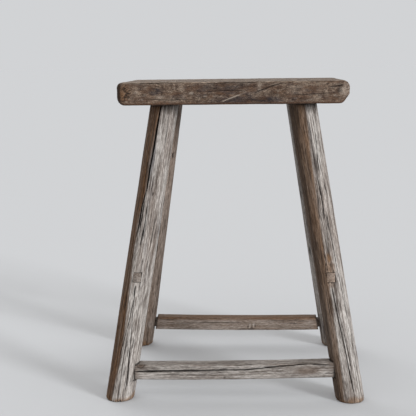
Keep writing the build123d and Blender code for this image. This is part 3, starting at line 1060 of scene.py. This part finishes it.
def make_seat():
    places, quads, outer = seat_topology()
    level = places[:, 2] / SEAT_ROWS
    grid = []
    for axis, half, mortise in ((0, SEAT_HALF_LENGTH, TENON_WIDTH), (1, SEAT_HALF_DEPTH, TENON_DEPTH)):
        low, high = (seat_lines(z, axis, half, mortise)[places[:, axis]] for z in (UNDERSIDE, TOP))
        grid.append(low * (1 - level) + high * level)
    x, y = grid
    limit = seat_depth_at(x)
    past = np.maximum(np.abs(y) - SQUARE_HALF_DEPTH, 0)
    drawn_in = (limit - SQUARE_HALF_DEPTH) / (SEAT_HALF_DEPTH - SQUARE_HALF_DEPTH)
    y = np.where(past > 0, np.sign(y) * (SQUARE_HALF_DEPTH + past * drawn_in), y)
    z = UNDERSIDE + (TOP - UNDERSIDE) * level
    easing = TOP_EASING + 1.3 * noise(x / 18.0, np.sign(y), 0.5, 301)
    y, z = ease_edge(y, z, limit, TOP, easing, 1)
    easing = 2.0 + 1.0 * noise(x / 14.0, np.sign(y), 0.5, 302)
    y, z = ease_edge(y, z, limit, UNDERSIDE, easing, -1)
    low, high = seat_bottom(x), seat_top(x)
    z = low + (z - UNDERSIDE) * (high - low) / (TOP - UNDERSIDE)
    points = np.stack((x, y, z), axis=1)
    normal = vertex_normals(points, outer)
    out_x, out_y, out_z = normal.T
    directions = dict(front=-out_y, back=out_y, top=out_z, under=-out_z, ends=np.abs(out_x))
    facing = SimpleNamespace(**{name: ramp(value, 0.45, 0.8) for name, value in directions.items()})
    marks = seat_marks(x, y, z, facing)
    form = 0.40 * rough(x / 60.0, y / 40.0, z / 16.0, 303)
    lumps = 0.16 * rough(x / 7.0, y / 4.0, z / 4.0, 306)
    fibres = 0.09 * rough(x / 30.0, y / 1.9, z / 1.9, 304, 2) * (1 - facing.ends)
    end_fibres = 0.18 * rough(x / 2.0, y / 3.5, z / 2.2, 305) * facing.ends
    push = form + lumps + fibres + end_fibres - marks.sink - SEAT_SET_IN
    lowest = (-SEAT_HALF_LENGTH, -SEAT_HALF_DEPTH, UNDERSIDE)
    points = np.clip(points + normal * push[:, None], lowest, (SEAT_HALF_LENGTH, SEAT_HALF_DEPTH, TOP))
    grain = np.stack((y - HEART[0], z - HEART[1], x), axis=1)
    level_faces = np.abs(normal[quads].mean(axis=1)[:, 2]) > LEVEL_FACING
    along = np.where(level_faces, LONG_FIGURE, 1.0)
    make_piece("seat", "seat_wood", [(points, [quads], grain, marks.table())], along)


# Cloudy stains all over the seat: stain, amount, lengths of the waves, seed, octaves, ramp from, ramp to
SEAT_CLOUDS = (
    ("pale", 0.42, (5.0, 2.6, 2.6), 313, 2, 0.10, 0.60),
    ("brown", 0.65, (16.0, 6.0, 4.5), 311, 3, -0.15, 0.45),
    ("rust", 0.40, (6.0, 3.0, 2.4), 318, 2, 0.25, 0.70),
)
# Patches on the seat's front: first seed, then (pixel, radii, amount)
SEAT_PATCHES = {
    "blue": (320, (
        ((155, 91.5), (9.5, 6.0), 0.8),
        ((128, 98), (9, 4.0), 0.35),
        ((205, 88), (20, 7.0), 0.6),
        ((228, 90), (14, 8.0), 0.7),
        ((240, 100), (36, 5.0), 0.9),
        ((270, 100), (18, 5.0), 1.0),
        ((178, 98), (14, 4.0), 0.45),
        ((300, 99), (14, 3.5), 0.5),
    )),
    "pale": (330, (
        ((160, 97), (7, 3.0), 0.6),
        ((191.5, 93), (2.8, 2.8), 0.7),
        ((182, 88), (6, 3.0), 0.3),
        ((259.5, 86), (3.2, 8.5), 0.5),
        ((311, 99.5), (1.8, 1.4), 0.9),
        ((335, 95), (1.8, 1.4), 0.8),
        ((205, 96), (2.6, 1.8), 0.6),
        ((300, 90), (16, 8.0), 0.2),
        ((344, 91), (7, 9.0), 0.55),
        ((125, 93), (5, 7.0), 0.30),
    )),
    "rust": (345, (
        ((124, 93), (9.0, 11.0), 0.75),
    )),
    "crack": (360, (
        ((262, 100), (22, 3.6), 0.45),
        ((228, 100.5), (12, 3.0), 0.40),
        ((232, 88), (14, 4.0), 0.30),
        ((154, 90.5), (8, 3.6), 0.35),
        ((198, 99), (10, 3.0), 0.30),
        ((305, 99.5), (12, 2.6), 0.30),
    )),
}
SEAT_CRACKS = (
    (1.1, 1.2, 340, (250, 94.5), (256.5, 92), (272, 86), (287, 81.5)),
    (0.8, 0.8, 341, (262, 82), (270, 81)),
    (1.2, 1.8, 342, (327, 87.4), (339, 85.5), (347, 84.3)),
    (1.2, 0.9, 343, (119.5, 84.5), (124, 82.2), (133, 81.4)),
    (1.3, 1.0, 344, (130, 82.8), (148, 83), (168, 82.4), (186, 82.2)),
    (0.8, 0.7, 345, (200, 83), (236, 82.4), (262, 82.2)),
    (0.7, 0.7, 346, (200, 92), (225, 90.5), (248, 91)),
    (0.7, 0.7, 347, (290, 95), (318, 94), (336, 92)),
    (0.7, 0.7, 348, (140, 99), (170, 100), (192, 99)),
)
SEAT_SCRATCH = ((222, 101.5), (235, 96.5), (246, 92.5))
SEAT_FAN = (120, 93)
# Cracks that run in from the ends of the top, in millimetres: from, to, place across
SEAT_END_SPLITS = ((-181, -96, 12), (-181, -140, -58), (120, 181, 33), (90, 181, -21))


def seat_marks(x, y, z, facing):
    """Stains, cracks and scars of the plank, on its front as the photograph has them."""
    front, top, under, ends = facing.front, facing.top, facing.under, facing.ends
    marks = Marks(x, z)
    for stain, amount, (length, width, tall), seed, octaves, low, high in SEAT_CLOUDS:
        cloud = rough(x / length, y / width, z / tall, seed, octaves)
        marks.deepen(stain, amount * ramp(cloud, low, high))
    middle = hump(x - 10.0, 75.0) * (1 - top)
    blue = ramp(rough(x / 18.0, y / 8.0, z / 5.0, 312) + 0.25 * middle, 0.1, 0.6)
    pits = ramp(rough(x / 4.2, y / 2.2, z / 2.1, 314), 0.25, 0.65)
    marks.deepen("blue", 0.50 * blue * (1 - 0.6 * top))
    marks.deepen("crack", 0.78 * pits * (1 - 0.6 * top))
    marks.deepen("crack", 0.54 * middle * ramp(rough(x / 15.0, y / 6.0, z / 4.0, 319), -0.3, 0.6))
    level = np.maximum(top, under)
    marks.fade(1 - 0.75 * level, "brown", "blue", "pale")
    streaks = rough(x / 75.0, y / 4.5, 0.5, 315)
    marks.deepen("pale", (0.34 + 0.20 * streaks) * top)
    marks.deepen("brown", 0.55 * ramp(-streaks, 0.1, 0.6) * level)
    marks.deepen("blue", 0.5 * ramp(rough(x / 60.0, y / 14.0, 0.5, 316), 0.15, 0.6) * level)
    marks.deepen("rust", 0.55 * ends * (x < 0))
    marks.deepen("pale", 0.50 * ends * (x > 0))
    # Growth rings on the ends, and the dark wood where the left end rolls over
    far = np.hypot(y - HEART[0], z - HEART[1]) + 1.2 * noise(y / 25.0, z / 25.0, 0.5, 317)
    rings = ramp(np.sin(far * 2 * pi / 5.2), 0.0, 1.0) * ends
    marks.deepen("brown", 0.75 * rings)
    marks.deepen("crack", 0.28 * rings)
    rolled = ramp(-x, SEAT_HALF_LENGTH - 10.0, SEAT_HALF_LENGTH - 4.0)
    marks.deepen("brown", rolled)
    marks.deepen("crack", 0.70 * rolled * (1 - top))

    def at(px, py):
        return pixel_on_plane((px, py), -SEAT_HALF_DEPTH)

    for stain, (seed, patches) in SEAT_PATCHES.items():
        for number, (pixel, radii, amount) in enumerate(patches):
            marks.patch(stain, at(*pixel), radii, amount, seed + number, mask=front)
    marks.draw(at, SEAT_CRACKS, dark=0.85, mask=front)
    # A pale scratch with a dark line under it
    scratch = [at(*pixel) for pixel in SEAT_SCRATCH]
    line = np.interp(x, *zip(*scratch))
    seen = (x > scratch[0][0]) & (x < scratch[-1][0])
    seen = seen * front * (1 - 0.6 * ramp(x, scratch[1][0], scratch[2][0]))
    thin = hump(z - line, 1.0) * seen
    marks.deepen("pale", thin)
    marks.fade(1 - thin, "crack", "blue", "brown")
    marks.sink += 0.5 * thin
    marks.deepen("crack", 0.6 * hump(z - line + 2.2, 0.9) * seen)
    marks.deepen("brown", 0.9 * ramp(UNDERSIDE + 5.0 - z, 0.0, 3.0) * front)
    marks.deepen("crack", 0.4 * ramp(UNDERSIDE + 2.5 - z, 0.0, 1.5) * front)
    # Cracks on the faces that the photograph doesn't show
    flat = Marks(x, y)
    flat.checks(22, (-178.0, 178.0, -98.0, 98.0), (25, 130), (0.6, 1.1), 350, mask=top)
    for number, (start, stop, place) in enumerate(SEAT_END_SPLITS):
        flat.split([(start, place), (stop, place + 3.0)], 0.95, 2.4, 380 + number, mask=top)
    flat.checks(16, (-175.0, 172.0, -96.0, 96.0), (25, 110), (0.6, 1.0), 390, mask=under)
    marks.lay_over(flat)
    marks.checks(12, (-176.0, 174.0, 466.0, 498.0), (20, 120), (0.5, 0.8), 400, mask=facing.back)
    across = Marks(z, y)
    across.checks(40, (466.0, 499.0, -97.0, 97.0), (5, 16), (0.5, 0.85), 420, slope=0.4, mask=ends)
    marks.lay_over(across)
    # Short strokes that fan over the left end of the front
    fan_x, fan_z = at(*SEAT_FAN)
    for number in range(20):
        angle = radians(-62 + 6.5 * number + 5 * lattice(number, 2, 7, 430))
        near = 4.0 + 8.0 * lattice(number, 3, 7, 431)
        far = near + 5.0 + 4.0 * lattice(number, 4, 7, 432)
        path = [(fan_x + reach * cos(angle), fan_z + reach * sin(angle)) for reach in (near, far)]
        marks.split(path, 1.1, 0.7, 440 + number, 0.2, 0.9, front)
    # The joint round each tenon, worn open a little
    for side in SIDES:
        for face in FACES:
            head_x, head_y = leg_axis(side, face, TOP)
            over = np.maximum(np.abs(x - head_x) - TENON_WIDTH / 2, np.abs(y - head_y) - TENON_DEPTH / 2)
            rim = (1 - ramp(over, 0.2, 1.9)) * top
            marks.sink += 0.45 * rim
            marks.deepen("crack", 0.75 * rim)
            marks.deepen("brown", 0.4 * (1 - ramp(over, 1.0, 9.0)) * top)
    return marks


# Materials

# The crack stain's colour paints real cracks and also painted shade and shadows on the legs and rails
CRACK_AND_SHADE_COLOUR = srgb(20, 15, 13)
LINE_COLOUR = srgb(50, 38, 30)
PORE_COLOUR = srgb(42, 33, 28)


class Tree:
    """The shader nodes of a material or of the world, added by kind and joined by their sockets."""

    def __init__(self, owner):
        owner.use_nodes = True
        self.nodes, self.links = owner.node_tree.nodes, owner.node_tree.links
        self.nodes.clear()

    def add(self, kind, inputs=None, **settings):
        node = self.nodes.new("ShaderNode" + kind)
        for key, value in settings.items():
            setattr(node, key, value)
        for key, value in (inputs or {}).items():
            if isinstance(value, bpy.types.NodeSocket):
                self.links.new(value, node.inputs[key])
            else:
                node.inputs[key].default_value = value
        return node

    def attribute(self, name, output="Fac"):
        return self.add("Attribute", attribute_name=name).outputs[output]

    def math(self, operation, a, b=0.0, clamp=False):
        return self.add("Math", {0: a, 1: b}, operation=operation, use_clamp=clamp).outputs[0]

    def times(self, a, b, clamp=False):
        return self.math("MULTIPLY", a, b, clamp)

    def plus(self, total, *terms):
        for term in terms:
            total = self.math("ADD", total, term)
        return total

    def from_middle(self, value):
        """How far a noise is from its middle value."""
        return self.math("ABSOLUTE", self.math("SUBTRACT", value, 0.5))

    def mix(self, factor, a, b, blend="MIX"):
        return self.add("Mix", {0: factor, 6: a, 7: b}, data_type="RGBA", blend_type=blend).outputs[2]

    def scaled(self, vector, scale):
        return self.add("Mapping", {"Vector": vector, "Scale": scale}).outputs["Vector"]

    def weighted(self, *pairs):
        """Sum of values, each times its weight."""
        return self.plus(*(self.times(value, weight) for value, weight in pairs))

    def noise(self, vector, scale, detail, roughness=0.55):
        vector = self.scaled(vector, scale)
        inputs = {"Vector": vector, "Scale": 1.0, "Detail": detail, "Roughness": roughness}
        return self.add("TexNoise", inputs).outputs["Fac"]

    def ramp(self, factor, stops):
        node = self.add("ValToRGB", {"Fac": factor})
        elements = node.color_ramp.elements
        while len(elements) < len(stops):
            elements.new(0.5)
        for element, (position, colour) in zip(elements, stops):
            element.position = position
            element.color = colour
        return node.outputs["Color"]

    def span(self, value, from_low, from_high, to_low, to_high):
        limits = {"From Min": from_low, "From Max": from_high, "To Min": to_low, "To Max": to_high}
        return self.add("MapRange", {"Value": value, **limits}, clamp=True).outputs["Result"]


def wood(name, tones, stain_colours, ring_spacing, stretch=1.0, lines=0.8, contrast=0.28, line_width=0.085):
    """Bare weathered wood whose grain follows the piece's own grain coordinates.

    tones run from dark to pale, and stain_colours are brown, rust, pale and blue.
    stretch above 1 makes the figure shorter along the grain, as in burl.
    """
    material = bpy.data.materials.new(name)
    tree = Tree(material)
    brown, rust, bleached, blue = (srgb(*colour) for colour in stain_colours)
    grain = tree.attribute("grain", "Vector")

    def grain_noise(across, along, detail, roughness=0.55):
        return tree.noise(grain, (across, across, along * stretch), detail, roughness)

    broad = grain_noise(0.06, 0.008, 2.0)
    streak = grain_noise(0.58, 0.013, 4.0, 0.62)
    fibre = grain_noise(1.1, 0.11, 4.0, 0.65)
    grit = grain_noise(0.66, 0.12, 3.0, 0.7)
    speck = tree.noise(grain, (1.5, 1.5, 0.16), 2.0)
    # Thin dark lines where a stretched noise crosses its middle, broken up by another
    thin = tree.from_middle(grain_noise(0.24, 0.006, 3.0))
    fine = tree.from_middle(grain_noise(0.75, 0.018, 2.0))
    broken = grain_noise(0.25, 0.03, 2.0)
    held = tree.span(broken, 0.42, 0.58, 0.15, 1.0)
    line = tree.times(tree.span(thin, 0.2 * line_width, line_width, 1.0, 0.0), held)
    fine_line = tree.times(tree.span(fine, 0.01, 0.07, 0.6, 0.0), tree.span(broken, 0.6, 0.4, 0.2, 1.0))
    line = tree.math("MAXIMUM", line, fine_line)
    # Growth rings about the heart of the piece
    level = tree.scaled(grain, (1.0, 1.0, 0.0))
    radius = tree.add("VectorMath", {0: level}, operation="LENGTH").outputs["Value"]
    turns = tree.plus(tree.times(radius, 1 / ring_spacing), tree.times(grain_noise(0.05, 0.004, 2.0), 7.0))
    rings = tree.span(tree.math("SINE", tree.times(turns, 2 * pi)), -0.6, 1.0, 0.0, 1.0)
    tone = tree.weighted((broad, 0.30), (streak, 0.42), (fibre, 0.26), (rings, -0.035))
    colour = tree.ramp(tone, [(place, srgb(*shade)) for place, shade in zip((0.37, 0.46, 0.56), tones)])
    stains = {stain: tree.attribute(stain) for stain in Marks.STAINS}
    streaky = tree.span(streak, 0.35, 0.62, 0.6, 1.1)
    for stain, tint, mottle in (
        ("pale", bleached, tree.span(fibre, 0.3, 0.6, 0.5, 1.0)),
        ("blue", blue, tree.span(streak, 0.4, 0.62, 1.0, 0.5)),
        ("brown", brown, streaky),
        ("rust", rust, streaky),
    ):
        colour = tree.mix(tree.times(stains[stain], mottle, True), colour, tint)
    colour = tree.mix(1.0, colour, tree.span(fibre, 0.32, 0.66, 0.70, 1.24), "MULTIPLY")
    colour = tree.mix(1.0, colour, tree.span(grit, 0.34, 0.66, 1 - contrast, 1 + contrast), "MULTIPLY")
    colour = tree.mix(tree.times(line, lines), colour, LINE_COLOUR)
    pores = tree.span(speck, 0.34, 0.26, 0.0, 0.75)
    colour = tree.mix(pores, colour, PORE_COLOUR)
    colour = tree.mix(stains["crack"], colour, CRACK_AND_SHADE_COLOUR)
    height = tree.weighted(
        (fibre, 0.4), (streak, 0.7), (grit, 0.7), (pores, -0.5), (rings, -0.10), (line, -0.5)
    )
    matt = tree.span(streak, 0.3, 0.7, 0.62, 0.84)
    bump = tree.add("Bump", {"Height": height, "Strength": 0.7, "Distance": 0.0006}).outputs["Normal"]
    look = {"Base Color": colour, "Roughness": matt, "Normal": bump, "Specular IOR Level": 0.15}
    shader = tree.add("BsdfPrincipled", look)
    tree.add("OutputMaterial", {"Surface": shader.outputs["BSDF"]})
    return material


# Floor and light

FLOOR_SIZE = 60.0
FLOOR_COLOUR = (0.53, 0.540, 0.556, 1.0)
WORLD_COLOUR = (1.0, 0.99, 0.975, 1.0)
WORLD_STRENGTH = 0.80
# Name, place that the light comes from, strength, spread in degrees, colour
LAMPS = (
    ("window", (2.75, -2.15, 0.88), 3.3, 15.0, (0.97, 0.985, 1.0)),
    ("fill", (-2.0, 3.0, 2.4), 0.9, 45.0, (1.0, 1.0, 1.0)),
)


def backdrop_colour():
    """The floor's own brightness under the lamps and the world, so that no line shows where it ends."""
    colour = []
    for channel in range(3):
        light = WORLD_STRENGTH * WORLD_COLOUR[channel]
        for _, place, strength, _, tint in LAMPS:
            light += strength * tint[channel] * Vector(place).normalized().z / pi
        colour.append(FLOOR_COLOUR[channel] * light)
    return (*colour, 1.0)


def make_floor():
    mesh = bpy.data.meshes.new("floor")
    corners = [(x * FLOOR_SIZE, y * FLOOR_SIZE, 0) for x, y in ((-1, -1), (1, -1), (1, 1), (-1, 1))]
    mesh.from_pydata(corners, [], [(0, 1, 2, 3)])
    paint = bpy.data.materials.new("floor_paint")
    tree = Tree(paint)
    look = {"Base Color": FLOOR_COLOUR, "Roughness": 0.75, "Specular IOR Level": 0.0}
    tree.add("OutputMaterial", {"Surface": tree.add("BsdfPrincipled", look).outputs["BSDF"]})
    mesh.materials.append(paint)
    floor = add_object("floor", mesh)


def make_light():
    world = bpy.data.worlds.new("world")
    bpy.context.scene.world = world
    tree = Tree(world)
    lit = tree.add("Background", {"Color": WORLD_COLOUR, "Strength": WORLD_STRENGTH}).outputs[0]
    seen = tree.add("Background", {"Color": backdrop_colour()}).outputs[0]
    camera_ray = tree.add("LightPath").outputs["Is Camera Ray"]
    mixed = tree.add("MixShader", {0: camera_ray, 1: lit, 2: seen}).outputs[0]
    tree.add("OutputWorld", {"Surface": mixed})
    for name, place, strength, spread, colour in LAMPS:
        data = bpy.data.lights.new(name, "SUN")
        data.energy = strength
        data.angle = radians(spread)
        data.color = colour
        light = add_object(name, data)
        light.location = place
        light.rotation_euler = (-Vector(place)).to_track_quat("-Z", "Y").to_euler()


make_camera()
make_light()
make_floor()

# Slot: tones from dark to pale, colours of the brown, rust, pale and blue stains, then the figure
WOODS = {
    "leg_wood": wood(
        "leg_wood",
        ((96, 84, 76), (142, 134, 128), (172, 167, 162)),
        ((84, 57, 34), (116, 84, 52), (182, 178, 174), (96, 99, 107)),
        ring_spacing=2.6,
    ),
    "stretcher_wood": wood(
        "stretcher_wood",
        ((92, 82, 75), (132, 125, 119), (160, 154, 149)),
        ((88, 66, 50), (120, 88, 60), (172, 167, 162), (92, 92, 98)),
        ring_spacing=3.2, stretch=1.3, lines=0.55, contrast=0.24, line_width=0.06,
    ),
    "seat_wood": wood(
        "seat_wood",
        ((48, 37, 31), (90, 73, 61), (126, 110, 96)),
        ((76, 52, 36), (112, 80, 53), (160, 148, 136), (44, 41, 46)),
        ring_spacing=3.4, stretch=14.0, lines=0.5, contrast=0.62, line_width=0.05,
    ),
    "wedge_wood": wood(
        "wedge_wood",
        ((80, 64, 51), (110, 92, 76), (134, 118, 100)),
        ((76, 54, 40), (112, 78, 50), (152, 140, 124), (80, 75, 74)),
        ring_spacing=2.2,
    ),
}

make_seat()
seed = 11
for face in FACES:
    for side in SIDES:
        make_leg(side, face, seed)
        make_wedge(side, face, seed + 4)
        seed += 100

LONG_TENON_STAINS = dict(rust=0.2, brown=0.2)
SHORT_TENON_STAINS = {-1: dict(brown=0.35), 1: dict(rust=0.55, pale=0.2)}
for face, detail in ((-1, front_rail_detail), (1, back_rail_detail)):
    legs = ((-1, face), (1, face))
    node = f"{FACES[face]}_stretcher"
    make_rail(node, LONG_RAILS[face], long_line_y(face), legs, seed, detail, LONG_TENON_STAINS)
    seed += 100
for side in SIDES:
    legs = ((side, -1), (side, 1))
    for level, rail in (("lower", LOWER_RAIL), ("upper", UPPER_RAIL)):
        line_x = side * (LEG_FOOT[0] - LEG_SLOPE[0] * rail.centres[0])
        node = f"{SIDES[side]}_{level}_stretcher"
        make_rail(node, rail, line_x, legs, seed, short_rail_detail, SHORT_TENON_STAINS[side])
        seed += 100

bpy.context.scene.view_settings.view_transform = "Standard"
